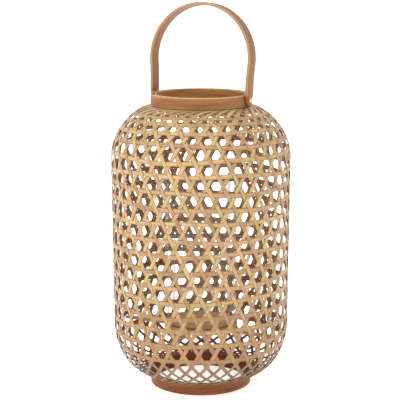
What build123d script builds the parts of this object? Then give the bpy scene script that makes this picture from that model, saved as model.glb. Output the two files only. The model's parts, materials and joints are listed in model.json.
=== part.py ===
from build123d import *
from math import asin, degrees, radians, sin, sqrt, tan
import os

# Woven bamboo lantern: a jar-shaped body of split bamboo strips in an open
# six-way weave, clamped top and bottom between pairs of bent wooden hoops,
# with a bent strip handle on two rivets and a glass cylinder on a round tray.
# Millimetres.  The lantern stands on z = 0 and its axis is Z.  The handle's
# rivets lie along X, and it rests leaning a little towards +Y.

# Ring hoops, bent from flat strip
RING_HEIGHT = 15.0
OUTER_HOOP_THICKNESS = 2.6
INNER_HOOP_THICKNESS = 2.2
HOOP_EDGE_ROUND = 0.8
BASE_RING_RADIUS = 71.5
TOP_RING_RADIUS = 70.0
TOP_RING_TOP_Z = 415.0

# Woven body: middle of the weave
LOW_WALL_RADIUS = 123.0
HIGH_WALL_RADIUS = 125.0
BOTTOM_SHOULDER_HEIGHT = 73.0
TOP_SHOULDER_HEIGHT = 69.0
BOTTOM_FULLNESS = 0.552
TOP_FULLNESS = 0.46
NECK_BEND_RADIUS = 2.3
NECK_CLEARANCE = 0.1
WEAVE_END_MARGIN = 1.5

# Strips
STRIP_WIDTH = 6.0
STRIP_THICKNESS = 0.7
LAYER_GAP = 0.15
STRIPS_EACH_WAY = 36
STRIP_LEAN = 26.9
STEEPEST_LEAN = 54.0
FIRST_HOOP_ABOVE_RING = 49.0
LAST_HOOP_BELOW_RING = 10.7
WEAVE_HOOPS = 18

# Handle
HANDLE_RISE = 125.0
HANDLE_LEAN = 4.3
HANDLE_WIDTH = 21.0
HANDLE_THICKNESS = 4.2
HANDLE_BOW = 2.0
HANDLE_EDGE_ROUND = 1.0
HANDLE_END_RADIUS = 8.0
HANDLE_TAPER_LENGTH = 12.0
HANDLE_SIDE_GAP = 0.8
RIVET_BELOW_RING_TOP = 7.0
RIVET_RADIUS = 2.0
RIVET_CLEARANCE = 0.05
RIVET_HEAD_RADIUS = 4.2
RIVET_HEAD_HEIGHT = 1.6
RIVET_RIM = 0.3
RIVET_END_PLAY = 0.2
RIVET_TAIL_RADIUS = 3.4
RIVET_TAIL_HEIGHT = 1.0
WASHER_RADIUS = 5.0
WASHER_THICKNESS = 0.5

# Tray, slats and glass
TRAY_MARGIN = 2.0
TRAY_THICKNESS = 8.0
TRAY_EDGE_ROUND = 1.2
SEAT_HEIGHT = 1.5
SEAT_CLEARANCE = 0.5
SLAT_BELOW_HOOP = 0.85
SLAT_WIDTH = 8.0
SLAT_THICKNESS = 3.0
SLAT_SIDE_CLEARANCE = 0.3
SLAT_TURN = 0.0
NAIL_RADIUS = 0.9
NAIL_HEAD_RADIUS = 2.0
NAIL_HEAD_HEIGHT = 0.8
NAIL_FROM_AXIS = 32.0
NAIL_GRIP = 5.0
GLASS_RADIUS = 50.0
GLASS_WALL = 2.5
GLASS_HEIGHT = 210.0
GLASS_LIP_ROUND = 1.0

# Worked-out places
LAYER_PITCH = STRIP_THICKNESS + LAYER_GAP
WEAVE_HALF = LAYER_PITCH + STRIP_THICKNESS / 2
SLOT_HALF = WEAVE_HALF + LAYER_GAP
BASE_WEAVE_RADIUS = BASE_RING_RADIUS - OUTER_HOOP_THICKNESS - SLOT_HALF
TOP_WEAVE_RADIUS = TOP_RING_RADIUS - OUTER_HOOP_THICKNESS - SLOT_HALF
RING_UNDERSIDE_Z = TOP_RING_TOP_Z - RING_HEIGHT
HANDLE_TOP_Z = TOP_RING_TOP_Z + HANDLE_RISE
SHOULDER_LOW_Z = RING_HEIGHT + NECK_BEND_RADIUS + NECK_CLEARANCE
SHOULDER_HIGH_Z = RING_UNDERSIDE_Z - NECK_BEND_RADIUS - NECK_CLEARANCE
WALL_LOW_Z = SHOULDER_LOW_Z + BOTTOM_SHOULDER_HEIGHT
WALL_HIGH_Z = SHOULDER_HIGH_Z - TOP_SHOULDER_HEIGHT
RIVET_Z = TOP_RING_TOP_Z - RIVET_BELOW_RING_TOP
HANDLE_INSIDE = TOP_RING_RADIUS + HANDLE_SIDE_GAP
HANDLE_OUTSIDE = HANDLE_INSIDE + HANDLE_THICKNESS
LEG_MIDDLE = HANDLE_INSIDE + HANDLE_THICKNESS / 2
ARCH_RADIUS = LEG_MIDDLE + HANDLE_BOW
ARCH_CENTRE_Z = HANDLE_TOP_Z - ARCH_RADIUS - HANDLE_THICKNESS / 2
LEG_BEND_Z = RIVET_Z + HANDLE_TAPER_LENGTH
LEG_BEND_RISE = ARCH_CENTRE_Z - LEG_BEND_Z
LEG_BEND_RADIUS = (
    (LEG_BEND_RISE**2 + LEG_MIDDLE**2 - ARCH_RADIUS**2) / (2 * HANDLE_BOW)
)
LEG_BEND_ANGLE = degrees(asin(LEG_BEND_RISE / (ARCH_RADIUS + LEG_BEND_RADIUS)))
TRAY_RADIUS = GLASS_RADIUS + TRAY_MARGIN
SEAT_RADIUS = GLASS_RADIUS - GLASS_WALL - SEAT_CLEARANCE
QUARTER_ROUND = 0.5523

os.makedirs("parts", exist_ok=True)


def write(piece, name):
    """Label a finished piece and write it as its own STEP file."""
    piece.part.label = name
    export_step(piece.part, f"parts/{name}.step")


def bend(start, end, first_fullness, last_fullness, rises_first):
    """Four control points of a quarter turn between two (radius, z) points."""
    (r0, z0), (r1, z1) = start, end
    if rises_first:
        first = (r0, z0 + first_fullness * (z1 - z0))
        last = (r1 - last_fullness * (r1 - r0), z1)
    else:
        first = (r0 + first_fullness * (r1 - r0), z0)
        last = (r1, z1 - last_fullness * (z1 - z0))
    return [start, first, last, end]


def weave_curve(side):
    """The weave's profile, shifted outwards by side: a list of control point
    lists, two points for a straight run and four for a bend."""
    base = BASE_WEAVE_RADIUS + side
    top = TOP_WEAVE_RADIUS + side
    low = (LOW_WALL_RADIUS + side, WALL_LOW_Z)
    high = (HIGH_WALL_RADIUS + side, WALL_HIGH_Z)
    under = SHOULDER_LOW_Z - side
    over = SHOULDER_HIGH_Z + side
    turn = NECK_BEND_RADIUS - side
    start = (base, WEAVE_END_MARGIN)
    neck_low = (base, under - turn)
    spread_low = (base + turn, under)
    spread_high = (top + turn, over)
    neck_high = (top, over + turn)
    end = (top, TOP_RING_TOP_Z - WEAVE_END_MARGIN)
    return [
        [start, neck_low],
        bend(neck_low, spread_low, QUARTER_ROUND, QUARTER_ROUND, True),
        bend(spread_low, low, BOTTOM_FULLNESS, BOTTOM_FULLNESS, False),
        [low, high],
        bend(high, spread_high, TOP_FULLNESS, TOP_FULLNESS, True),
        bend(spread_high, neck_high, QUARTER_ROUND, QUARTER_ROUND, False),
        [neck_high, end],
    ]


def point_on(points, t):
    """A point at t, 0 to 1, on a straight run or on a cubic bend."""
    if len(points) == 2:
        weights = (1 - t, t)
    else:
        weights = ((1 - t) ** 3, 3 * t * (1 - t) ** 2, 3 * t * t * (1 - t), t ** 3)
    radius = sum(w * p[0] for w, p in zip(weights, points))
    height = sum(w * p[1] for w, p in zip(weights, points))
    return radius, height


def hoop_places():
    """Where the level hoops cross the profile: a list of (radius, z, slope).

    A flat strip laid on a round body keeps radius x sin(lean) the same all
    the way up.  Between one hoop and the next the strips always go the same
    angle further round."""
    steps = 2000
    reach = HIGH_WALL_RADIUS * sin(radians(STRIP_LEAN))
    first_z = RING_HEIGHT + FIRST_HOOP_ABOVE_RING
    last_z = RING_UNDERSIDE_Z - LAST_HOOP_BELOW_RING
    climb = []
    turned = 0.0
    last = weave_curve(0.0)[0][0]
    for points in weave_curve(0.0):
        for i in range(steps):
            here = point_on(points, (i + 1) / steps)
            if first_z <= here[1] <= last_z:
                rise = (Vector(*here) - Vector(*last)).length
                lean = min(asin(min(reach / here[0], 1.0)), radians(STEEPEST_LEAN))
                turned += tan(lean) / here[0] * rise
                slope = ((here[0] - last[0]) / rise, (here[1] - last[1]) / rise)
                climb.append((turned, here[0], here[1], slope))
            last = here
    places = []
    for number in range(WEAVE_HOOPS):
        wanted = climb[0][0] + (turned - climb[0][0]) * number / (WEAVE_HOOPS - 1)
        nearest = min(climb, key=lambda place: abs(place[0] - wanted))
        places.append(nearest[1:])
    return places


# The slats lie just under the second hoop and carry the tray.
HOOP_PLACES = hoop_places()
SLAT_TOP_Z = HOOP_PLACES[1][1] - STRIP_WIDTH / 2 - SLAT_BELOW_HOOP
SLAT_LOW_Z = SLAT_TOP_Z - SLAT_THICKNESS
SLAT_REACH = HOOP_PLACES[1][0] - LAYER_PITCH
TRAY_TOP_Z = SLAT_TOP_Z + TRAY_THICKNESS


def layer(inner, outer):
    """A wall of revolution between two offsets of the weave's profile."""
    with BuildPart() as wall:
        with BuildSketch(Plane.XZ):
            with BuildLine():
                for points in weave_curve(inner) + weave_curve(outer):
                    if len(points) == 2:
                        Line(*points)
                    else:
                        Bezier(*points)
                for end in (0, -1):
                    Line(weave_curve(inner)[end][end], weave_curve(outer)[end][end])
            make_face()
        revolve(axis=Axis.Z)
        with BuildSketch(Plane.YZ):
            with Locations((0, RIVET_Z)):
                Circle(RIVET_RADIUS + RIVET_CLEARANCE)
        extrude(amount=TOP_RING_RADIUS, both=True, mode=Mode.SUBTRACT)
        for turn in (0, 90):
            with Locations(Location((0, 0, SLAT_LOW_Z), (0, 0, SLAT_TURN + turn))):
                Box(
                    2 * LOW_WALL_RADIUS + 4 * WEAVE_HALF,
                    SLAT_WIDTH + 2 * SLAT_SIDE_CLEARANCE,
                    SLAT_THICKNESS,
                    align=(Align.CENTER, Align.CENTER, Align.MIN),
                    mode=Mode.SUBTRACT,
                )
    return wall


def ring_hoop(outside, thickness, low_z, drilled):
    """One bent wooden hoop of a ring, with rounded edges."""
    with BuildPart() as hoop:
        with BuildSketch(Plane.XZ):
            with Locations((outside - thickness / 2, low_z + RING_HEIGHT / 2)):
                RectangleRounded(thickness, RING_HEIGHT, HOOP_EDGE_ROUND)
        revolve(axis=Axis.Z)
        if drilled:
            with BuildSketch(Plane.YZ):
                with Locations((0, RIVET_Z)):
                    Circle(RIVET_RADIUS)
            extrude(amount=outside + 1, both=True, mode=Mode.SUBTRACT)
    return hoop


# ---------------------------------------------------------------- rings
# Each ring is an outer and an inner hoop with the strips' ends between them.
base_outside = ring_hoop(BASE_RING_RADIUS, OUTER_HOOP_THICKNESS, 0.0, False)
write(base_outside, "base_ring_outer_hoop")

base_inside = ring_hoop(
    BASE_WEAVE_RADIUS - SLOT_HALF, INNER_HOOP_THICKNESS, 0.0, False
)
write(base_inside, "base_ring_inner_hoop")

top_outside = ring_hoop(
    TOP_RING_RADIUS, OUTER_HOOP_THICKNESS, RING_UNDERSIDE_Z, True
)
write(top_outside, "top_ring_outer_hoop")

top_inside = ring_hoop(
    TOP_WEAVE_RADIUS - SLOT_HALF, INNER_HOOP_THICKNESS, RING_UNDERSIDE_Z, True
)
write(top_inside, "top_ring_inner_hoop")

# ---------------------------------------------------------------- weave
# Three layers: strips leaning right outside, level hoops in the middle,
# strips leaning left inside.  Each leaning set is one closed wall.
right_strips = layer(LAYER_PITCH - STRIP_THICKNESS / 2, WEAVE_HALF)
write(right_strips, "right_leaning_strips")

left_strips = layer(-WEAVE_HALF, -LAYER_PITCH + STRIP_THICKNESS / 2)
write(left_strips, "left_leaning_strips")

for number, (radius, height, slope) in enumerate(HOOP_PLACES, start=1):
    with BuildPart() as weave_hoop:
        along = Vector(slope[0], slope[1]) * (STRIP_WIDTH / 2)
        across = Vector(slope[1], -slope[0]) * (STRIP_THICKNESS / 2)
        middle = Vector(radius, height)
        with BuildSketch(Plane.XZ):
            with BuildLine():
                Polyline(
                    middle + along + across,
                    middle - along + across,
                    middle - along - across,
                    middle + along - across,
                    close=True,
                )
            make_face()
        revolve(axis=Axis.Z)
    write(weave_hoop, f"weave_hoop_{number:02d}")

# ---------------------------------------------------------------- handle
# A flat strip bent to an arch.  Its legs bow outwards a little above the ring
# and its feet are rounded around the rivets.  It is built upright and then
# turned about the rivets to where it rests.
with BuildPart() as upright:
    with BuildSketch(Plane.XZ):
        with BuildLine():
            foot_z = RIVET_Z - HANDLE_END_RADIUS
            for off in (-HANDLE_THICKNESS / 2, HANDLE_THICKNESS / 2):
                for side, bend_start, bend_size in (
                    (1, 180, -LEG_BEND_ANGLE),
                    (-1, 0, LEG_BEND_ANGLE),
                ):
                    leg_x = side * (LEG_MIDDLE + off)
                    Line((leg_x, foot_z), (leg_x, LEG_BEND_Z))
                    CenterArc(
                        (side * (LEG_MIDDLE + LEG_BEND_RADIUS), LEG_BEND_Z),
                        LEG_BEND_RADIUS - off,
                        bend_start,
                        bend_size,
                    )
                CenterArc(
                    (0, ARCH_CENTRE_Z),
                    ARCH_RADIUS + off,
                    -LEG_BEND_ANGLE,
                    180 + 2 * LEG_BEND_ANGLE,
                )
            for side in (-1, 1):
                Line((side * HANDLE_INSIDE, foot_z), (side * HANDLE_OUTSIDE, foot_z))
        make_face()
    extrude(amount=HANDLE_WIDTH / 2, both=True)
    with BuildSketch(Plane.YZ):
        with Locations((0, RIVET_Z)):
            Circle(HANDLE_END_RADIUS)
        with Locations((0, RIVET_Z + HANDLE_TAPER_LENGTH)):
            Rectangle(
                HANDLE_WIDTH,
                HANDLE_TOP_Z - RIVET_Z,
                align=(Align.CENTER, Align.MIN),
            )
        make_hull()
    extrude(amount=2 * ARCH_RADIUS, both=True, mode=Mode.INTERSECT)
    long_edges = upright.edges().filter_by(
        lambda e: e.length > HANDLE_WIDTH * 1.5
    )
    fillet(long_edges, radius=HANDLE_EDGE_ROUND)
    with BuildSketch(Plane.YZ):
        with Locations((0, RIVET_Z)):
            Circle(RIVET_RADIUS + RIVET_CLEARANCE)
    extrude(amount=HANDLE_OUTSIDE + 1, both=True, mode=Mode.SUBTRACT)
with BuildPart() as handle:
    add(upright.part.rotate(Axis((0, 0, RIVET_Z), (1, 0, 0)), -HANDLE_LEAN))
write(handle, "handle")

# One rivet each side, its domed head outside the handle and its tail peened
# over inside the ring.
RING_BORE = TOP_WEAVE_RADIUS - SLOT_HALF - INNER_HOOP_THICKNESS
TAIL_FACE = sqrt(RING_BORE**2 - RIVET_TAIL_RADIUS**2)
HEAD_FACE = HANDLE_OUTSIDE + RIVET_END_PLAY
with BuildPart() as rivets:
    for start, radius, length in (
        (TAIL_FACE - RIVET_TAIL_HEIGHT, RIVET_TAIL_RADIUS, RIVET_TAIL_HEIGHT),
        (TAIL_FACE, RIVET_RADIUS, HEAD_FACE - TAIL_FACE),
        (HEAD_FACE, RIVET_HEAD_RADIUS, RIVET_HEAD_HEIGHT),
    ):
        with BuildSketch(Plane.YZ.offset(start)):
            with Locations((0, RIVET_Z)):
                Circle(radius)
        extrude(amount=length)
    head_rim = rivets.edges().filter_by(GeomType.CIRCLE).sort_by(Axis.X)[-1]
    fillet(head_rim, radius=RIVET_HEAD_HEIGHT - RIVET_RIM)
    mirror(about=Plane.YZ)
write(rivets, "handle_rivets")

with BuildPart() as washers:
    washer_x = TOP_RING_RADIUS + (HANDLE_SIDE_GAP - WASHER_THICKNESS) / 2
    with BuildSketch(Plane.YZ.offset(washer_x)):
        with Locations((0, RIVET_Z)):
            Circle(WASHER_RADIUS)
            Circle(RIVET_RADIUS + RIVET_CLEARANCE, mode=Mode.SUBTRACT)
    extrude(amount=WASHER_THICKNESS)
    mirror(about=Plane.YZ)
write(washers, "handle_washers")

# ---------------------------------------------------------------- tray
# Two slats cross under the tray in a halved joint and their ends sit in the
# weave; four nails hold the tray down on them.  A thin disc glued on the tray
# lies inside the foot of the glass and keeps it in the middle.
for name, turn, keeps_top in (("lower_slat", 0, False), ("upper_slat", 90, True)):
    with BuildPart() as slat:
        with Locations(Location((0, 0, SLAT_LOW_Z), (0, 0, SLAT_TURN + turn))):
            Box(
                2 * SLAT_REACH,
                SLAT_WIDTH,
                SLAT_THICKNESS,
                align=(Align.CENTER, Align.CENTER, Align.MIN),
            )
        notch_z = SLAT_LOW_Z if keeps_top else SLAT_LOW_Z + SLAT_THICKNESS / 2
        with Locations(Location((0, 0, notch_z), (0, 0, SLAT_TURN + turn))):
            Box(
                SLAT_WIDTH,
                SLAT_WIDTH,
                SLAT_THICKNESS / 2,
                align=(Align.CENTER, Align.CENTER, Align.MIN),
                mode=Mode.SUBTRACT,
            )
        with BuildSketch(Plane.XY.offset(SLAT_LOW_Z)):
            with PolarLocations(NAIL_FROM_AXIS, 2, start_angle=SLAT_TURN + turn):
                Circle(NAIL_RADIUS)
        extrude(amount=SLAT_THICKNESS, mode=Mode.SUBTRACT)
    write(slat, name)

with BuildPart() as tray:
    with BuildSketch(Plane.XY.offset(SLAT_TOP_Z)):
        Circle(TRAY_RADIUS)
    extrude(amount=TRAY_THICKNESS)
    fillet(tray.edges().filter_by(GeomType.CIRCLE), radius=TRAY_EDGE_ROUND)
    with BuildSketch(Plane.XY.offset(SLAT_TOP_Z)):
        with PolarLocations(NAIL_FROM_AXIS, 4, start_angle=SLAT_TURN):
            Circle(NAIL_RADIUS)
    extrude(amount=NAIL_GRIP, mode=Mode.SUBTRACT)
write(tray, "candle_tray")

with BuildPart() as seat_disc:
    with BuildSketch(Plane.XY.offset(TRAY_TOP_Z)):
        Circle(SEAT_RADIUS)
    extrude(amount=SEAT_HEIGHT)
write(seat_disc, "glass_locating_disc")

with BuildPart() as nails:
    with BuildSketch(Plane.XY.offset(SLAT_LOW_Z)):
        with PolarLocations(NAIL_FROM_AXIS, 4, start_angle=SLAT_TURN):
            Circle(NAIL_RADIUS)
    extrude(amount=SLAT_THICKNESS + NAIL_GRIP)
    with BuildSketch(Plane.XY.offset(SLAT_LOW_Z - NAIL_HEAD_HEIGHT)):
        with PolarLocations(NAIL_FROM_AXIS, 4, start_angle=SLAT_TURN):
            Circle(NAIL_HEAD_RADIUS)
    extrude(amount=NAIL_HEAD_HEIGHT)
write(nails, "tray_nails")

# ---------------------------------------------------------------- glass
with BuildPart() as glass:
    with BuildSketch(Plane.XY.offset(TRAY_TOP_Z)):
        Circle(GLASS_RADIUS)
        Circle(GLASS_RADIUS - GLASS_WALL, mode=Mode.SUBTRACT)
    extrude(amount=GLASS_HEIGHT)
    lip = glass.edges().filter_by(GeomType.CIRCLE).group_by(Axis.Z)[-1]
    fillet(lip, radius=GLASS_LIP_ROUND)
write(glass, "glass_cylinder")
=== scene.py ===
import json
from math import asin, cos, pi, radians, sin

import bpy
import numpy as np
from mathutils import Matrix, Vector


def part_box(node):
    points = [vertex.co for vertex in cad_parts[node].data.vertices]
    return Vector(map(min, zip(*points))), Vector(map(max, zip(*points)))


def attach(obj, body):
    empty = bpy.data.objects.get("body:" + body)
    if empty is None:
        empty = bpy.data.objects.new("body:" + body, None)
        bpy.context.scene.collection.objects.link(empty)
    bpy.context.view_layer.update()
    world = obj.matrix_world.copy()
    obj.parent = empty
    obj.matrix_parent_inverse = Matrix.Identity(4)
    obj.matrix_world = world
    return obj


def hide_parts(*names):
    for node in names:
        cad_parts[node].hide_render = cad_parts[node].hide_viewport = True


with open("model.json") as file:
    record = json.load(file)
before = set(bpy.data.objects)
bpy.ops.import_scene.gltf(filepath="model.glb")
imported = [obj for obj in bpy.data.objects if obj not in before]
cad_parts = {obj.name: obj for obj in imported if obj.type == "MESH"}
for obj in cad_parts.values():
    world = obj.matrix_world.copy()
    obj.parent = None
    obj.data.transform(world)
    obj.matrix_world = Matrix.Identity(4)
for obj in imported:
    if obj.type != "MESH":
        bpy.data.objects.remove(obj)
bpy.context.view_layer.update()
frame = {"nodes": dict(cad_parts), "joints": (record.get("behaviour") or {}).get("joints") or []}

# ---------------------------------------------------------------- studio
# A white floor that glows a little under an even white sky, one large soft
# lamp high on the left and the camera, a little above the lantern.
CAMERA_AZIMUTH = radians(26.0)
CAMERA_DISTANCE = 1.7813
CAMERA_HEIGHT = 0.6028
CAMERA_PITCH = 0.188
CAMERA_SENSOR_MM = 36.0
CAMERA_LENS_MM = 115.78
CAMERA_SHIFT = -0.0022
SKY_STRENGTH = 1.05
FLOOR_GLOW = 0.6
FLOOR_HALF = 30.0
LAMP_AIM_HEIGHT = 0.25

scene = bpy.context.scene
scene.view_settings.view_transform = "Standard"

camera = bpy.data.objects.new("camera", bpy.data.cameras.new("camera"))
camera.data.sensor_width = CAMERA_SENSOR_MM
camera.data.lens = CAMERA_LENS_MM
camera.data.shift_x = CAMERA_SHIFT
camera.data.clip_end = 100.0
camera.location = (
    CAMERA_DISTANCE * sin(CAMERA_AZIMUTH),
    -CAMERA_DISTANCE * cos(CAMERA_AZIMUTH),
    CAMERA_HEIGHT,
)
camera.rotation_euler = (pi / 2 - CAMERA_PITCH, 0.0, CAMERA_AZIMUTH)
scene.collection.objects.link(camera)
scene.camera = camera

sky = bpy.data.worlds.new("even white sky")
sky.use_nodes = True
sky.node_tree.nodes["Background"].inputs["Color"].default_value = (1.0, 1.0, 1.0, 1.0)
sky.node_tree.nodes["Background"].inputs["Strength"].default_value = SKY_STRENGTH
scene.world = sky


def soft_lamp(name, azimuth, elevation, distance, size, power):
    """A square area lamp aimed at the middle of the lantern, on a ball around
    it: azimuth is counted like the camera's, elevation from the floor."""
    lamp = bpy.data.objects.new(name, bpy.data.lights.new(name, "AREA"))
    lamp.data.size = size
    lamp.data.energy = power
    lamp.rotation_euler = (pi / 2 - elevation, 0.0, azimuth)
    lamp.location = (
        distance * cos(elevation) * sin(azimuth),
        -distance * cos(elevation) * cos(azimuth),
        LAMP_AIM_HEIGHT + distance * sin(elevation),
    )
    scene.collection.objects.link(lamp)


soft_lamp(
    "lamp high left", azimuth=radians(-22.0), elevation=radians(48.0),
    distance=2.4, size=1.4, power=24.0,
)


class Wire:
    """One output of a shader node.  Arithmetic on it adds Math nodes."""

    def __init__(self, finish, socket):
        self.finish = finish
        self.socket = socket

    def math(self, operation, first, second=0.0):
        values = {0: first, 1: second}
        return self.finish.node("ShaderNodeMath", {"operation": operation}, values)

    def __add__(self, other):
        return self.math("ADD", self, other)

    def __sub__(self, other):
        return self.math("SUBTRACT", self, other)

    def __rsub__(self, other):
        return self.math("SUBTRACT", other, self)

    def __mul__(self, other):
        return self.math("MULTIPLY", self, other)

    def __truediv__(self, other):
        return self.math("DIVIDE", self, other)

    __radd__ = __add__

    def distance_to(self, other):
        """The size of the difference, never negative."""
        return self.math("ABSOLUTE", self - other)

    def part_of_one(self):
        """What is left after the whole number is taken off."""
        return self.math("FRACT", self)

    def ramp(self, low, high):
        """0 below low, 1 above high and a smooth rise between."""
        values = {"Value": self, "From Min": low, "From Max": high}
        settings = {"interpolation_type": "SMOOTHSTEP"}
        return self.finish.node("ShaderNodeMapRange", settings, values)


class Finish:
    """A procedural material: node() adds any node, the rest name common ones."""

    def __init__(self, name, **constants):
        self.material = bpy.data.materials.new(name)
        self.material.use_nodes = True
        self.tree = self.material.node_tree
        self.shader = self.tree.nodes["Principled BSDF"]
        for socket, value in constants.items():
            self.shader.inputs[socket.replace("_", " ")].default_value = value

    def node(self, kind, settings=None, values=None, output=0):
        made = self.tree.nodes.new(kind)
        for setting, value in (settings or {}).items():
            setattr(made, setting, value)
        for socket, value in (values or {}).items():
            self.plug(value, made.inputs[socket])
        return Wire(self, made.outputs[output])

    def plug(self, value, socket):
        if isinstance(value, Wire):
            self.tree.links.new(value.socket, socket)
        else:
            socket.default_value = value

    def drive(self, **inputs):
        """Joins wires to the shader's own inputs."""
        for socket, value in inputs.items():
            self.plug(value, self.shader.inputs[socket.replace("_", " ")])

    def place(self, uv_map=None):
        """The three coordinates of a point, on a piece's UV map or in metres."""
        if uv_map:
            source = self.node("ShaderNodeUVMap", {"uv_map": uv_map})
        else:
            source = self.node("ShaderNodeTexCoord", output="Object")
        split = "ShaderNodeSeparateXYZ"
        return [self.node(split, values={"Vector": source}, output=i) for i in range(3)]

    def spot(self, x, y, z):
        return self.node("ShaderNodeCombineXYZ", values={"X": x, "Y": y, "Z": z})

    def noise(self, x, y, z, detail=2.0, rough=0.5):
        """Soft noise from 0 to 1; the coordinates' scales set its grain."""
        values = {
            "Vector": self.spot(x, y, z),
            "Scale": 1.0,
            "Detail": detail,
            "Roughness": rough,
        }
        return self.node("ShaderNodeTexNoise", values=values)

    def mix(self, factor, first, second):
        """first where factor is 0 and second where it is 1."""
        settings = {"data_type": "RGBA", "clamp_factor": True}
        values = {0: factor, 6: first, 7: second}
        return self.node("ShaderNodeMix", settings, values, output=2)

    def bump(self, height, strength, depth):
        values = {"Height": height, "Strength": strength, "Distance": depth}
        return self.node("ShaderNodeBump", values=values)


paper = Finish(
    "floor paper", Roughness=0.9, Specular_IOR_Level=0.1,
    Emission_Color=(1, 1, 1, 1), Emission_Strength=FLOOR_GLOW,
)
px, py, pz = paper.place()
paper_cloud = paper.noise(px * 3.0, py * 3.0, pz)
paper.drive(Base_Color=paper.mix(paper_cloud, (0.93, 0.93, 0.93, 1), (0.95, 0.95, 0.95, 1)))

floor_mesh = bpy.data.meshes.new("floor")
corners = [(-1, -1), (1, -1), (1, 1), (-1, 1)]
floor_points = [(FLOOR_HALF * x, FLOOR_HALF * y, 0.0) for x, y in corners]
floor_mesh.from_pydata(floor_points, [], [(0, 1, 2, 3)])
floor_mesh.materials.append(paper.material)
floor = bpy.data.objects.new("floor", floor_mesh)
scene.collection.objects.link(floor)

# ---------------------------------------------------------------- ring hoops
# Four hoops of thin wooden strip, steamed and bent round.  The two ends of
# each are shaved to long tapers and glued over each other.
OUTER_HOOP_THICKNESS = 0.0026
INNER_HOOP_THICKNESS = 0.0022
HOOP_EDGE_ROUND = 0.0009
HOOP_LAP = 0.050
HOOP_TIP = 0.12
HOOP_GLUE = 0.00006
HOOP_STATIONS = 320
HOOP_LAP_STATIONS = 24
HOOP_SEAM_STEP = 0.0002
HOOP_OUT_OF_ROUND = 0.00012


def grid_faces(rows, columns, closed_rows, first=0):
    """Quads of a grid of points stored row by row; columns always close."""
    i = np.arange(rows if closed_rows else rows - 1)[:, None]
    j = np.arange(columns)[None, :]
    a = i * columns + j
    b = i * columns + (j + 1) % columns
    c = (i + 1) % rows * columns + (j + 1) % columns
    d = (i + 1) % rows * columns + j
    return np.stack([a, d, c, b], axis=-1).reshape(-1, 4) + first


def outward(points, faces):
    """The faces, turned over if the closed surface has a negative volume."""
    tri = points[faces[:, :3]]
    rest = points[faces[:, [0, 2, 3]]]
    volume = 0.0
    for part in (tri, rest):
        volume += np.einsum("ij,ij->i", part[:, 0], np.cross(part[:, 1], part[:, 2])).sum()
    return faces if volume > 0 else faces[:, ::-1]


def add_piece(name, points, faces, finish, uv=None, tone=None, inside=None, caps=()):
    """A smooth mesh object from arrays of points and quads, with end caps."""
    faces = outward(points, faces)
    rings = [list(map(int, cap)) for cap in caps]
    mesh = bpy.data.meshes.new(name)
    mesh.from_pydata(points.tolist(), [], faces.tolist() + rings)
    mesh.polygons.foreach_set("use_smooth", np.ones(len(mesh.polygons), dtype=bool))
    corner = np.empty(len(mesh.loops), dtype=np.int32)
    mesh.loops.foreach_get("vertex_index", corner)
    if uv is not None:
        layer = mesh.uv_layers.new(name="along")
        layer.data.foreach_set("uv", uv[corner].ravel())
    for attribute, values in (("tone", tone), ("inside", inside)):
        if values is not None:
            mesh.attributes.new(attribute, "FLOAT", "POINT").data.foreach_set("value", values)
    mesh.materials.append(finish.material)
    mesh.validate()
    piece = bpy.data.objects.new(name, mesh)
    scene.collection.objects.link(piece)
    return piece


def rounded_section(width, height, radius, per_corner):
    """Points round a rectangle with quarter-round corners, centred on 0."""
    points = []
    for k in range(4):
        turn = np.linspace(0.0, pi / 2, per_corner) + k * pi / 2
        cx = (width / 2 - radius) * (1 if k in (0, 3) else -1)
        cy = (height / 2 - radius) * (1 if k in (0, 1) else -1)
        points.append(np.c_[cx + radius * np.cos(turn), cy + radius * np.sin(turn)])
    return np.vstack(points)


def end_caps(rows, columns, first=0):
    """The first and last rings of a tube's points, as two polygons."""
    start = first + np.arange(columns)
    finish = first + (rows - 1) * columns + np.arange(columns)
    return [start[::-1], finish]


def bent_wood(name, dark, light, edge):
    """Stained bent wood: fine long grain, slow clouds and paler edges."""
    wood = Finish(name, Specular_IOR_Level=0.22)
    along, up, _ = wood.place("along")
    grain = wood.noise(along * 28.0, up * 1500.0, 2.0, detail=4.0, rough=0.65)
    figure = wood.noise(along * 9.0, up * 260.0, 7.0, detail=3.0)
    cloud = wood.noise(along * 11.0, up * 40.0, 13.0)
    pores = wood.noise(along * 160.0, up * 4200.0, 4.0, detail=1.0).ramp(0.62, 0.74)
    body = wood.mix(figure.ramp(0.3, 0.72), dark, light)
    shade = (grain - 0.5) * 0.75 + (cloud - 0.5) * 0.8 + 1.0 - pores * 0.22
    grey = {"Red": shade, "Green": shade, "Blue": shade}
    tint = wood.node("ShaderNodeCombineColor", values=grey)
    settings = {"data_type": "RGBA", "blend_type": "MULTIPLY"}
    toned = wood.node("ShaderNodeMix", settings, {0: 1.0, 6: body, 7: tint}, output=2)
    # Paler colour near the top and bottom edges of the strip.
    paler_edges = (up.distance_to(0.0075) + (grain - 0.5) * 0.0012).ramp(0.0062, 0.0072)
    wood.drive(
        Base_Color=wood.mix(paler_edges * 0.8, toned, edge),
        Roughness=0.5 + (grain - 0.5) * 0.25,
        Normal=wood.bump(grain - pores * 0.6, 0.35, 0.0003),
    )
    return wood


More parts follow.
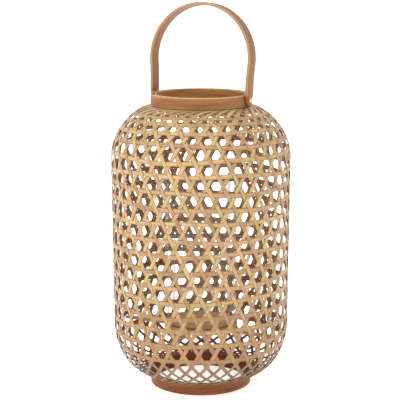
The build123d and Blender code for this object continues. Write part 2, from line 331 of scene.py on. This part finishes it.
def bent_hoop(name, node, thickness, lap_from, finish):
    """A hoop swept round the axis from angle 0 to a full turn plus the lap.

    Where the two ends lie over each other, the first end tapers on its
    outside and the last end on its inside, along one slanted glue line."""
    low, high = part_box(node)
    radius = high[0]
    middle_z = (low[2] + high[2]) / 2
    lap = HOOP_LAP / radius
    step = HOOP_SEAM_STEP / radius
    turn = np.concatenate([
        np.linspace(0.0, lap, HOOP_LAP_STATIONS),
        np.linspace(lap + step, 2 * pi - step, HOOP_STATIONS),
        np.linspace(2 * pi, 2 * pi + lap, HOOP_LAP_STATIONS),
    ])
    share = HOOP_TIP + (1 - 2 * HOOP_TIP) * (turn % (2 * pi)) / lap
    glue = HOOP_GLUE / thickness
    inside = np.where(turn >= 2 * pi, share + glue, 0.0)
    outside = np.where(turn <= lap, share - glue, 1.0)
    section = rounded_section(thickness, high[2] - low[2], HOOP_EDGE_ROUND, 5)
    across = section[:, 0] / thickness + 0.5
    out_of_round = -HOOP_OUT_OF_ROUND * (1 - np.cos(2 * turn + lap_from)) / 2
    r = radius - thickness + thickness * (
        inside[:, None] + across[None, :] * (outside - inside)[:, None]
    ) + out_of_round[:, None]
    z = np.broadcast_to(middle_z + section[:, 1], r.shape)
    angle = turn[:, None] + lap_from
    points = np.stack([r * np.cos(angle), r * np.sin(angle), z], axis=-1).reshape(-1, 3)
    uv = np.stack([np.broadcast_to(turn[:, None] * radius, r.shape), z - low[2]], axis=-1)
    piece = add_piece(
        name, points, grid_faces(len(turn), len(section), False), finish,
        uv=uv.reshape(-1, 2), caps=end_caps(len(turn), len(section)),
    )
    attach(piece, "root")
    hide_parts(node)


top_wood = bent_wood(
    "top ring wood", (0.21, 0.080, 0.021, 1), (0.38, 0.172, 0.050, 1), (0.60, 0.40, 0.22, 1)
)
base_wood = bent_wood(
    "base ring wood", (0.165, 0.047, 0.014, 1), (0.36, 0.122, 0.038, 1), (0.30, 0.12, 0.048, 1)
)
# The base ring's inner hoop gets a darker copy of the base ring's wood: painted shade inside the
# lantern's foot.
base_inside_shaded_wood = bent_wood(
    "base ring inside wood",
    (0.090, 0.022, 0.009, 1), (0.200, 0.055, 0.022, 1), (0.28, 0.10, 0.04, 1),
)
bent_hoop("base_outer_bent_hoop", "base_ring_outer_hoop", OUTER_HOOP_THICKNESS, 1.1, base_wood)
bent_hoop(
    "base_inner_bent_hoop", "base_ring_inner_hoop", INNER_HOOP_THICKNESS, 3.9, base_inside_shaded_wood
)
bent_hoop("top_outer_bent_hoop", "top_ring_outer_hoop", OUTER_HOOP_THICKNESS, 0.35, top_wood)
bent_hoop("top_inner_bent_hoop", "top_ring_inner_hoop", INNER_HOOP_THICKNESS, 2.6, top_wood)

# ---------------------------------------------------------------- weave
# The body: 36 strips of split bamboo leaning each way and 18 level hoops,
# woven over and under in turn so that they leave six-sided holes.  Their
# ends are pressed between the hoops of the two rings.
STRIPS_EACH_WAY = 36
STRIP_WIDTH = 0.0056
HOOP_WIDTH = 0.0061
STRIP_THICKNESS = 0.0007
STRIP_RISE = 0.00040
STRIP_LEAN = radians(26.9)
STEEPEST_LEAN = radians(66.0)
FOOT_LEAN_GAIN = 0.32
NECK_LEAN_GAIN = 0.15
STRIP_STATIONS_PER_ROW = 6
STRIP_DRIFT = 0.0042
STRIP_WANDER = 0.0045
FOOT_NARROWING = 0.26
NECK_WIDENING = 0.30
HOOP_STATIONS_PER_STRIP = 10
HOOP_WANDER = 0.009
HOOP_RIPPLE = 0.005
PROFILE_POINTS = 6000
LOW_WALL_RADIUS = 0.123
HIGH_WALL_RADIUS = 0.125
BOTTOM_SHOULDER_HEIGHT = 0.073
TOP_SHOULDER_HEIGHT = 0.069
BOTTOM_FULLNESS = 0.552
TOP_FULLNESS = 0.46
QUARTER_ROUND = 0.5523
NECK_BEND_RADIUS = 0.0023
NECK_CLEARANCE = 0.0001
WEAVE_END_MARGIN = 0.0028
SLOT_MIDDLE = 0.0014
HOOPS = sorted(name for name in frame["nodes"] if name.startswith("weave_hoop_"))
ROW_TURN = pi / STRIPS_EACH_WAY
FIRST_STRIP_AT = radians(2.5)

base_ring_low, base_ring_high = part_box("base_ring_outer_hoop")
top_ring_low, top_ring_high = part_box("top_ring_outer_hoop")
first_hoop_low, first_hoop_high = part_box(HOOPS[0])
last_hoop_low, last_hoop_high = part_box(HOOPS[-1])


def cubic(start, first, last, end, count=400):
    """Points of a cubic bend between start and end, (radius, z) rows."""
    t = np.linspace(0.0, 1.0, count)[:, None]
    s = 1 - t
    corners = [np.array(p) for p in (start, first, last, end)]
    near = corners[0] * s**3 + 3 * corners[1] * s * s * t
    return near + 3 * corners[2] * s * t * t + corners[3] * t**3


def quarter_turn(start, end, fullness, rises_first):
    """A bend from upright to level, or from level to upright."""
    (r0, z0), (r1, z1) = start, end
    if rises_first:
        return cubic(start, (r0, z0 + fullness * (z1 - z0)), (r1 - fullness * (r1 - r0), z1), end)
    return cubic(start, (r0 + fullness * (r1 - r0), z0), (r1, z1 - fullness * (z1 - z0)), end)


def body_profile():
    """Radius and height of the middle of the weave, from the base ring's slot
    up the body to the top ring's slot, evenly spaced along the profile."""
    base = base_ring_high[0] - OUTER_HOOP_THICKNESS - SLOT_MIDDLE
    top = top_ring_high[0] - OUTER_HOOP_THICKNESS - SLOT_MIDDLE
    turn = NECK_BEND_RADIUS
    under = base_ring_high[2] + turn + NECK_CLEARANCE
    over = top_ring_low[2] - turn - NECK_CLEARANCE
    neck_low = (base, under - turn)
    spread_low = (base + turn, under)
    wall_low = (LOW_WALL_RADIUS, under + BOTTOM_SHOULDER_HEIGHT)
    wall_high = (HIGH_WALL_RADIUS, over - TOP_SHOULDER_HEIGHT)
    spread_high = (top + turn, over)
    neck_high = (top, over + turn)
    runs = [
        np.array([(base, base_ring_low[2] + WEAVE_END_MARGIN)]),
        quarter_turn(neck_low, spread_low, QUARTER_ROUND, True),
        quarter_turn(spread_low, wall_low, BOTTOM_FULLNESS, False)[1:],
        quarter_turn(wall_high, spread_high, TOP_FULLNESS, True),
        quarter_turn(spread_high, neck_high, QUARTER_ROUND, False)[1:],
        np.array([(top, top_ring_high[2] - WEAVE_END_MARGIN)]),
    ]
    rough = np.vstack(runs)
    length = np.r_[0.0, np.cumsum(np.hypot(*np.diff(rough, axis=0).T))]
    even = np.linspace(0.0, length[-1], PROFILE_POINTS)
    return np.interp(even, length, rough[:, 0]), np.interp(even, length, rough[:, 1]), even


body_r, body_z, body_m = body_profile()
first_hoop_z = (first_hoop_low[2] + first_hoop_high[2]) / 2
last_hoop_z = (last_hoop_low[2] + last_hoop_high[2]) / 2
below_hoops = np.clip((first_hoop_z - body_z) / (first_hoop_z - base_ring_high[2]), 0.0, 1.0)
above_hoops = np.clip((body_z - last_hoop_z) / (top_ring_low[2] - last_hoop_z), 0.0, 1.0)
lean_sine = HIGH_WALL_RADIUS * sin(STRIP_LEAN) / body_r
lean_sine *= 1.0 + FOOT_LEAN_GAIN * np.sqrt(below_hoops) + NECK_LEAN_GAIN * above_hoops
lean = np.minimum(np.arcsin(np.minimum(lean_sine, 1.0)), STEEPEST_LEAN)
turn_rate = np.tan(lean) / body_r
body_turn = np.r_[0.0, np.cumsum((turn_rate[1:] + turn_rate[:-1]) / 2 * np.diff(body_m))]
body_turn -= np.interp(first_hoop_z, body_z, body_turn)
last_hoop_turn = (len(HOOPS) - 1) * ROW_TURN

STRIP_SECTION = np.array([
    (-0.50, -0.30), (-0.50, 0.16), (-0.42, 0.40), (-0.16, 0.50), (0.16, 0.50),
    (0.42, 0.40), (0.50, 0.16), (0.50, -0.30), (0.0, -0.50),
])


def ribbon(centre, side, out, width, lift):
    """Points of a thin strip: its section carried along a path.

    Each section point is the path's point, plus side times the width, plus
    out times the thickness and the lift that takes it over or under."""
    across = STRIP_SECTION[:, 0][None, :] * width[:, None]
    height = STRIP_SECTION[:, 1][None, :] * STRIP_THICKNESS + lift[:, None]
    points = centre[:, None, :] + across[..., None] * side[:, None, :]
    points = points + height[..., None] * out[:, None, :]
    inside = np.broadcast_to(STRIP_SECTION[:, 1] < -0.2, across.shape)
    return points.reshape(-1, 3), across.ravel(), inside.ravel().astype(float)


def unit(vectors):
    return vectors / np.linalg.norm(vectors, axis=-1, keepdims=True)


def on_body(turned, angle):
    """Points and outward directions on the body where the strips have turned
    that far round since the first hoop, at those angles about the axis."""
    r = np.interp(turned, body_turn, body_r)
    z = np.interp(turned, body_turn, body_z)
    slope_r = np.interp(turned, body_turn, np.gradient(body_r, body_m))
    slope_z = np.interp(turned, body_turn, np.gradient(body_z, body_m))
    centre = np.stack([r * np.cos(angle), r * np.sin(angle), z], axis=-1)
    out = np.stack([slope_z * np.cos(angle), slope_z * np.sin(angle), -slope_r], axis=-1)
    return centre, unit(out)


# Skin outside and pith inside, with a knot's ridge and pale collar at even
# spaces, darker cut edges deepened with painted shade, some aged strips, and
# painted shade that darkens the skin towards the foot and the pith below the tray.
KNOT_SPACING = 0.26
split_bamboo = Finish("split bamboo", Specular_IOR_Level=0.35, Coat_Roughness=0.35)
along, across, _ = split_bamboo.place("along")
tone = split_bamboo.node("ShaderNodeAttribute", {"attribute_name": "tone"}, output="Fac")
fibre = split_bamboo.noise(along * 70.0, across * 3200.0, tone * 60.0, detail=3.0, rough=0.6)
streak = split_bamboo.noise(along * 12.0, across * 700.0, tone * 90.0, detail=2.0)
blotch = split_bamboo.noise(along * 26.0, across * 90.0, tone * 35.0, detail=3.0)
knot = (along / KNOT_SPACING + tone * 9.7).part_of_one().distance_to(0.5) * KNOT_SPACING
collar = 1.0 - knot.ramp(0.0005, 0.0060)
ridge = 1.0 - knot.ramp(0.0003, 0.0011)
hue = (tone * 5.31).part_of_one().ramp(0.15, 0.85)
pith = split_bamboo.node("ShaderNodeAttribute", {"attribute_name": "inside"}, output="Fac")
pale = split_bamboo.mix(hue, (0.56, 0.385, 0.170, 1), (0.50, 0.318, 0.158, 1))
deep = split_bamboo.mix(hue, (0.30, 0.178, 0.062, 1), (0.26, 0.130, 0.054, 1))
ground = split_bamboo.mix((streak + blotch - 0.5).ramp(0.25, 0.95), pale, deep)
old_strip = (tone * 3.17).part_of_one().ramp(0.62, 0.98) * 0.6
aged = split_bamboo.mix(old_strip, ground, (0.27, 0.140, 0.060, 1))
fibred = split_bamboo.mix(fibre.ramp(0.50, 0.78) * 0.45, aged, (0.20, 0.100, 0.040, 1))
# Darker along both edges of each strip: the cut edges plus painted shade where the strips pass
# over and under each other.
skin_edge_and_shade = across.distance_to(0.0).ramp(0.0017, 0.0027) * 0.75
edged = split_bamboo.mix(skin_edge_and_shade, fibred, (0.20, 0.095, 0.040, 1))
collared = split_bamboo.mix(collar * 0.35, edged, (0.64, 0.47, 0.27, 1))
skin = split_bamboo.mix(ridge * 0.7, collared, (0.16, 0.075, 0.035, 1))
height = split_bamboo.place()[2]
# Painted shade: the skin goes dark grey-brown at the foot, where the strips are backlit.
foot = 1.0 - (height + (blotch - 0.5) * 0.02).ramp(0.034, 0.066)
# Painted shade: the skin darkens towards the bottom of the body.
low_body_shade = 1.0 - (height + (streak - 0.5) * 0.06).ramp(0.060, 0.175)
low_body_shaded = split_bamboo.mix(low_body_shade * 0.62, skin, (0.265, 0.125, 0.044, 1))
foot_shaded = split_bamboo.mix(foot * 0.68, low_body_shaded, (0.105, 0.080, 0.045, 1))
core_pale = split_bamboo.mix(
    streak.ramp(0.3, 0.75), (0.500, 0.275, 0.115, 1), (0.240, 0.100, 0.035, 1)
)
core_toned = split_bamboo.mix(
    tone.ramp(0.45, 0.95) * 0.65, core_pale, (0.190, 0.072, 0.024, 1)
)
# Darker along the pith's edges: the cut edges plus painted shade at the sides of the holes.
core_edge_and_shade = across.distance_to(0.0).ramp(0.0012, 0.0026) * 0.8
core_edged = split_bamboo.mix(core_edge_and_shade, core_toned, (0.085, 0.030, 0.010, 1))
# Painted shade: the pith goes darker below 0.11 m, under the tray.
core = split_bamboo.mix(height.ramp(0.055, 0.110), (0.240, 0.082, 0.032, 1), core_edged)
split_bamboo.drive(
    Base_Color=split_bamboo.mix(pith.ramp(0.2, 0.8), foot_shaded, core),
    Roughness=0.42 + fibre * 0.22,
    Coat_Weight=0.10 + blotch * 0.12,
    Normal=split_bamboo.bump(fibre * 0.5 + ridge * 1.4 + streak * 0.4, 0.5, 0.00025),
)

weaver = np.random.default_rng(11)


def leaning_strips(name, node, lean_way):
    """All strips that lean one way, lean_way +1 to the right and -1 left.

    A strip follows the shortest path on the round body.  Between the first
    and last hoops its lift is a cosine of how far it has turned, one wave a
    row: right-leaning strips pass over left-leaning ones and under hoops."""
    turned = np.arange(body_turn[0], body_turn[-1], ROW_TURN / STRIP_STATIONS_PER_ROW)
    in_rows = np.clip((turned + 0.4 * ROW_TURN) / (0.8 * ROW_TURN), 0, 1)
    in_rows *= np.clip((last_hoop_turn + 0.6 * ROW_TURN - turned) / (0.8 * ROW_TURN), 0, 1)
    wave = -in_rows * np.cos(2 * pi * turned / ROW_TURN) + (1 - in_rows)
    lift = lean_way * STRIP_RISE * wave
    start = FIRST_STRIP_AT if lean_way > 0 else FIRST_STRIP_AT + ROW_TURN
    columns = len(STRIP_SECTION)
    points, faces, uv, tones, insides, caps = [], [], [], [], [], []
    fullness = 1.0 - FOOT_NARROWING * np.sqrt(below_hoops) + NECK_WIDENING * above_hoops
    fuller = np.interp(turned, body_turn, fullness)
    for k in range(STRIPS_EACH_WAY):
        drift = weaver.normal(0.0, STRIP_DRIFT)
        sway = np.sin(turned * weaver.uniform(2, 5) + weaver.uniform(0, 6))
        drift = drift + STRIP_WANDER * sway
        angle = start + 2 * ROW_TURN * k + lean_way * turned + drift
        centre, out = on_body(turned, angle)
        forward = unit(np.gradient(centre, axis=0))
        side = np.cross(out, forward)
        split = weaver.uniform(0.88, 1.10)
        width = STRIP_WIDTH * (split + 0.04 * np.sin(turned * weaver.uniform(3, 9)))
        strip, across_strip, inside = ribbon(centre, side, out, width * fuller, lift)
        gone = np.r_[0.0, np.cumsum(np.linalg.norm(np.diff(centre, axis=0), axis=1))]
        first = k * len(turned) * columns
        points.append(strip)
        faces.append(grid_faces(len(turned), columns, False, first))
        caps += end_caps(len(turned), columns, first)
        uv.append(np.c_[np.repeat(gone, columns), across_strip])
        tones.append(np.full(len(strip), weaver.uniform()))
        insides.append(inside)
    piece = add_piece(
        name, np.vstack(points), np.vstack(faces), split_bamboo,
        uv=np.vstack(uv), tone=np.concatenate(tones),
        inside=np.concatenate(insides), caps=caps,
    )
    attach(piece, "root")
    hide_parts(node)


leaning_strips("strips_leaning_right", "right_leaning_strips", 1)
leaning_strips("strips_leaning_left", "left_leaning_strips", -1)


def level_hoop(row, node):
    """One closed hoop: its lift is a cosine of the angle, one wave a strip,
    over the right-leaning strips and under the left-leaning ones."""
    count = STRIPS_EACH_WAY * HOOP_STATIONS_PER_STRIP
    angle = np.linspace(0.0, 2 * pi, count, endpoint=False)
    wander = HOOP_WANDER * np.sin(2 * angle + weaver.uniform(0, 6))
    wander = wander + HOOP_RIPPLE * np.sin(5 * angle + weaver.uniform(0, 6))
    turned = row * ROW_TURN + wander
    centre, out = on_body(turned, angle)
    forward = unit(np.roll(centre, -1, axis=0) - np.roll(centre, 1, axis=0))
    side = np.cross(out, forward)
    lift = STRIP_RISE * np.cos((angle - FIRST_STRIP_AT - row * ROW_TURN) * STRIPS_EACH_WAY)
    split = weaver.uniform(0.92, 1.04)
    width = HOOP_WIDTH * (split + 0.03 * np.sin(3 * angle + weaver.uniform(0, 6)))
    points, across_strip, inside = ribbon(centre, side, out, width, lift)
    columns = len(STRIP_SECTION)
    uv = np.c_[np.repeat(angle * HIGH_WALL_RADIUS, columns), across_strip]
    piece = add_piece(
        node.replace("weave", "level"), points, grid_faces(count, columns, True), split_bamboo,
        uv=uv, tone=np.full(len(points), weaver.uniform()), inside=inside,
    )
    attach(piece, "root")
    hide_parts(node)


for row, node in enumerate(HOOPS):
    level_hoop(row, node)

# ---------------------------------------------------------------- tray
# A turned wooden disc nailed to two crossed bamboo slats, whose ends sit in
# holes of the weave.
board = Finish("tray wood", Specular_IOR_Level=0.3)
bx, by, bz = board.place()
ring_grain = board.noise(bx * 14.0, by * 150.0, bz * 60.0, detail=4.0, rough=0.6)
board_fibre = board.noise(bx * 60.0, by * 1400.0, bz * 900.0, detail=2.0)
board_base = board.mix(ring_grain.ramp(0.3, 0.7), (0.66, 0.39, 0.170, 1), (0.44, 0.220, 0.085, 1))
board.drive(
    Base_Color=board.mix(board_fibre.ramp(0.5, 0.8) * 0.4, board_base, (0.22, 0.11, 0.045, 1)),
    Roughness=0.55 + board_fibre * 0.2,
    Normal=board.bump(board_fibre + ring_grain * 0.5, 0.3, 0.0003),
)

slat_wood = Finish("slat bamboo", Specular_IOR_Level=0.35)
sx, sy, sz = slat_wood.place()
slat_fibre = slat_wood.noise(sx * 500.0, sy * 500.0, sz * 2200.0, detail=3.0)
slat_cloud = slat_wood.noise(sx * 30.0, sy * 30.0, sz * 200.0)
slat_base = slat_wood.mix(slat_cloud, (0.56, 0.38, 0.19, 1), (0.42, 0.26, 0.12, 1))
slat_wood.drive(
    Base_Color=slat_wood.mix(slat_fibre.ramp(0.5, 0.75) * 0.5, slat_base, (0.28, 0.16, 0.07, 1)),
    Roughness=0.5 + slat_fibre * 0.25,
    Normal=slat_wood.bump(slat_fibre, 0.3, 0.0002),
)


def dress(node, finish):
    """Gives a CAD node its finish."""
    mesh = frame["nodes"][node].data
    mesh.materials.clear()
    mesh.materials.append(finish.material)


dress("candle_tray", board)
dress("glass_locating_disc", board)
dress("lower_slat", slat_wood)
dress("upper_slat", slat_wood)

steel = Finish("nail steel", Metallic=1.0)
nx, ny, nz = steel.place()
scuff = steel.noise(nx * 900.0, ny * 900.0, nz * 300.0, detail=3.0)
steel.drive(
    Base_Color=steel.mix(scuff, (0.42, 0.41, 0.39, 1), (0.60, 0.59, 0.57, 1)),
    Roughness=0.28 + scuff * 0.3,
)
dress("tray_nails", steel)

# ---------------------------------------------------------------- glass
# An open cylinder of drawn glass with fire-polished lips, standing loose on
# the tray.  It is clear face on, greenish at its lips and where it is seen
# edge on, and carries one thin dark reflection up each side.
GLASS_WALL = 0.0025
GLASS_LIP = 0.0011
GLASS_COLUMNS = 192
REFLECTION_AT = 0.415

glass_low, glass_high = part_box("glass_cylinder")
glass_middle = (glass_low[2] + glass_high[2]) / 2
glass_half = (glass_high[2] - glass_low[2]) / 2

clear = Finish("clear glass", Specular_IOR_Level=0.5)
gx, gy, gz = clear.place()
haze = clear.noise(gx * 16.0, gy * 16.0, gz * 5.0, detail=2.0)
edge_on = clear.node("ShaderNodeLayerWeight", values={"Blend": 0.5}, output=1)
lip = gz.distance_to(glass_middle).ramp(glass_half - 0.0022, glass_half - 0.0006)
reflection = 1.0 - edge_on.distance_to(REFLECTION_AT).ramp(0.010, 0.026)
green = (edge_on.ramp(0.45, 0.90) + reflection + lip).ramp(0.0, 1.0)
rim = edge_on.ramp(0.66, 0.88)
clear.drive(
    Base_Color=clear.mix(green, (0.80, 0.86, 0.83, 1), (0.07, 0.095, 0.10, 1)),
    Roughness=0.04 + haze.ramp(0.4, 0.8) * 0.08,
    Alpha=0.010 + haze * 0.020 + rim * 0.62 + reflection * 0.55 + lip * 0.30,
)


def glass_cylinder():
    """The wall's rounded section carried once round the axis."""
    section = rounded_section(GLASS_WALL, glass_high[2] - glass_low[2], GLASS_LIP, 6)
    r = glass_high[0] - GLASS_WALL / 2 + section[:, 0]
    z = glass_middle + section[:, 1]
    turn = np.linspace(0.0, 2 * pi, GLASS_COLUMNS, endpoint=False)[:, None]
    height = np.broadcast_to(z, (GLASS_COLUMNS, len(z)))
    points = np.stack([r * np.cos(turn), r * np.sin(turn), height], axis=-1)
    piece = add_piece(
        "drawn_glass_cylinder", points.reshape(-1, 3),
        grid_faces(GLASS_COLUMNS, len(section), True), clear,
    )
    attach(piece, "glass")
    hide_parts("glass_cylinder")


glass_cylinder()

# ---------------------------------------------------------------- handle
# A strip of bamboo bent to an arch over steam.  Its legs bow out a little
# above the ring, and its rounded feet turn on a brass rivet each side.  It
# is built upright and then turned to where it rests.
HANDLE_RISE = 0.125
HANDLE_LEAN = radians(4.3)
HANDLE_WIDTH = 0.021
HANDLE_THICKNESS = 0.0042
HANDLE_BOW = 0.0020
HANDLE_END_RADIUS = 0.0080
HANDLE_TAPER_LENGTH = 0.012
HANDLE_EDGE_ROUND = 0.0012
HANDLE_SIDE_GAP = 0.0008
HANDLE_STATIONS = 260
HANDLE_LEAST_WIDTH = 0.0004
HANDLE_UNEVENNESS = 0.03
HANDLE_UNEVEN_PER_METRE = 31.0

swing = next(joint for joint in frame["joints"] if joint["name"] == "handle_swing")
rivet_z = swing["pos_m"][2]


def handle_path(count):
    """Points (x, z) up the right leg, round the arch and down the left leg,
    with the directions across the strip's thickness, evenly spaced."""
    leg = top_ring_high[0] + HANDLE_SIDE_GAP + HANDLE_THICKNESS / 2
    arch = leg + HANDLE_BOW
    centre_z = top_ring_high[2] + HANDLE_RISE - arch - HANDLE_THICKNESS / 2
    bend_z = rivet_z + HANDLE_TAPER_LENGTH
    rise = centre_z - bend_z
    bend_radius = (rise**2 + leg**2 - arch**2) / (2 * HANDLE_BOW)
    bow = asin(rise / (arch + bend_radius))
    low = np.array([[leg, rivet_z - HANDLE_END_RADIUS]])
    t = np.linspace(0.0, bow, 60)
    bend = np.c_[leg + bend_radius * (1 - np.cos(t)), bend_z + bend_radius * np.sin(t)]
    t = np.linspace(-bow, pi / 2, 200)
    half = np.c_[arch * np.cos(t), centre_z + arch * np.sin(t)]
    right = np.vstack([low, bend, half[1:]])
    whole = np.vstack([right, (right * (-1, 1))[-2::-1]])
    length = np.r_[0.0, np.cumsum(np.hypot(*np.diff(whole, axis=0).T))]
    foot = HANDLE_END_RADIUS * (1 - np.cos(np.linspace(0.0, pi / 2, 14)))
    even = np.linspace(HANDLE_END_RADIUS * 1.1, length[-1] - HANDLE_END_RADIUS * 1.1, count)
    at = np.r_[foot, even, length[-1] - foot[::-1]]
    return np.c_[np.interp(at, length, whole[:, 0]), np.interp(at, length, whole[:, 1])], at


def handle_width(at, whole_length):
    """Half a circle at each foot, a straight taper, then the full width."""
    end = np.minimum(at, whole_length - at)
    circle = np.sqrt(np.clip(HANDLE_END_RADIUS**2 - (HANDLE_END_RADIUS - end) ** 2, 0, None))
    grow = np.clip((end - HANDLE_END_RADIUS) / HANDLE_TAPER_LENGTH, 0.0, 1.0)
    grow = grow * grow * (3 - 2 * grow)
    taper = HANDLE_END_RADIUS + (HANDLE_WIDTH / 2 - HANDLE_END_RADIUS) * grow
    return 2 * np.where(end < HANDLE_END_RADIUS, circle, taper)


def bent_handle():
    """The strip's rounded section carried along its path; the section's long
    side lies along Y and shrinks to nothing at the two feet."""
    path, at = handle_path(HANDLE_STATIONS)
    forward = unit(np.gradient(path, axis=0))
    forward[0] = forward[1] = forward[2]
    forward[-1] = forward[-2] = forward[-3]
    normal = np.c_[forward[:, 1], -forward[:, 0]]
    width = np.maximum(handle_width(at, at[-1]), HANDLE_LEAST_WIDTH)
    section = rounded_section(HANDLE_WIDTH, HANDLE_THICKNESS, HANDLE_EDGE_ROUND, 6)
    squeeze = np.minimum(1.0, width / HANDLE_WIDTH)
    swell = 1.0 - HANDLE_UNEVENNESS * (1 - np.cos(at * HANDLE_UNEVEN_PER_METRE)) / 2
    y = section[:, 0][None, :] * squeeze[:, None]
    t = section[:, 1][None, :] * swell[:, None]
    x = path[:, :1] + t * normal[:, :1]
    up = path[:, 1:] + t * normal[:, 1:] - rivet_z
    back = y * cos(HANDLE_LEAN) + up * sin(HANDLE_LEAN)
    height = rivet_z + up * cos(HANDLE_LEAN) - y * sin(HANDLE_LEAN)
    points = np.stack([x, back, height], axis=-1).reshape(-1, 3)
    uv = np.stack([np.broadcast_to(at[:, None], y.shape), y], axis=-1).reshape(-1, 2)
    inner = np.where(np.broadcast_to(section[:, 1][None, :], y.shape) < 0, 1.0, 0.0)
    return points, uv, inner.ravel(), len(at), len(section)


handle_wood = Finish("handle bamboo", Specular_IOR_Level=0.22, Coat_Roughness=0.3)
along, across, _ = handle_wood.place("along")
inside_face = handle_wood.node(
    "ShaderNodeAttribute", {"attribute_name": "tone"}, output="Fac"
)
handle_fibre = handle_wood.noise(
    along * 30.0, across * 1900.0, inside_face * 3.0, detail=4.0, rough=0.62
)
handle_streak = handle_wood.noise(along * 7.0, across * 420.0, 3.0 + inside_face, detail=3.0)
handle_cloud = handle_wood.noise(along * 14.0, across * 60.0, 9.0)
handle_grain = handle_streak.ramp(0.3, 0.7)
handle_skin = handle_wood.mix(
    handle_grain, (0.295, 0.150, 0.047, 1), (0.20, 0.090, 0.027, 1)
)
handle_pith = handle_wood.mix(
    handle_grain, (0.325, 0.147, 0.053, 1), (0.225, 0.094, 0.033, 1)
)
handle_face = handle_wood.mix(inside_face.ramp(0.4, 0.6), handle_skin, handle_pith)
handle_dark = handle_fibre.ramp(0.5, 0.78) * 0.45
handle_aged = handle_wood.mix(handle_dark, handle_face, (0.25, 0.125, 0.055, 1))
# Painted highlight: a pale colour along both edges of the strip, mixed with random paler clouds
# in the wood.
handle_edge_highlight = across.distance_to(0.0).ramp(0.0086, 0.0098)
handle_highlight_and_cloud = handle_edge_highlight * 0.5 + (handle_cloud - 0.5) * 0.3
handle_wood.drive(
    Base_Color=handle_wood.mix(handle_highlight_and_cloud, handle_aged, (0.47, 0.33, 0.19, 1)),
    Roughness=0.42 + handle_fibre * 0.2,
    Coat_Weight=0.02 + handle_cloud * 0.06,
    Normal=handle_wood.bump(handle_fibre + handle_streak * 0.6, 0.3, 0.0003),
)

points, uv, inner, rows, columns = bent_handle()
handle = add_piece(
    "bent_handle", points, grid_faces(rows, columns, False), handle_wood,
    uv=uv, tone=inner, caps=end_caps(rows, columns),
)
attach(handle, "handle")
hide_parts("handle")

brass = Finish("rivet brass", Metallic=1.0)
rx, ry, rz = brass.place()
tarnish = brass.noise(rx * 700.0, ry * 700.0, rz * 700.0, detail=3.0)
brass.drive(
    Base_Color=brass.mix(tarnish, (0.78, 0.60, 0.30, 1), (0.48, 0.33, 0.14, 1)),
    Roughness=0.26 + tarnish * 0.3,
    Normal=brass.bump(tarnish, 0.15, 0.0001),
)
dress("handle_rivets", brass)
dress("handle_washers", brass)
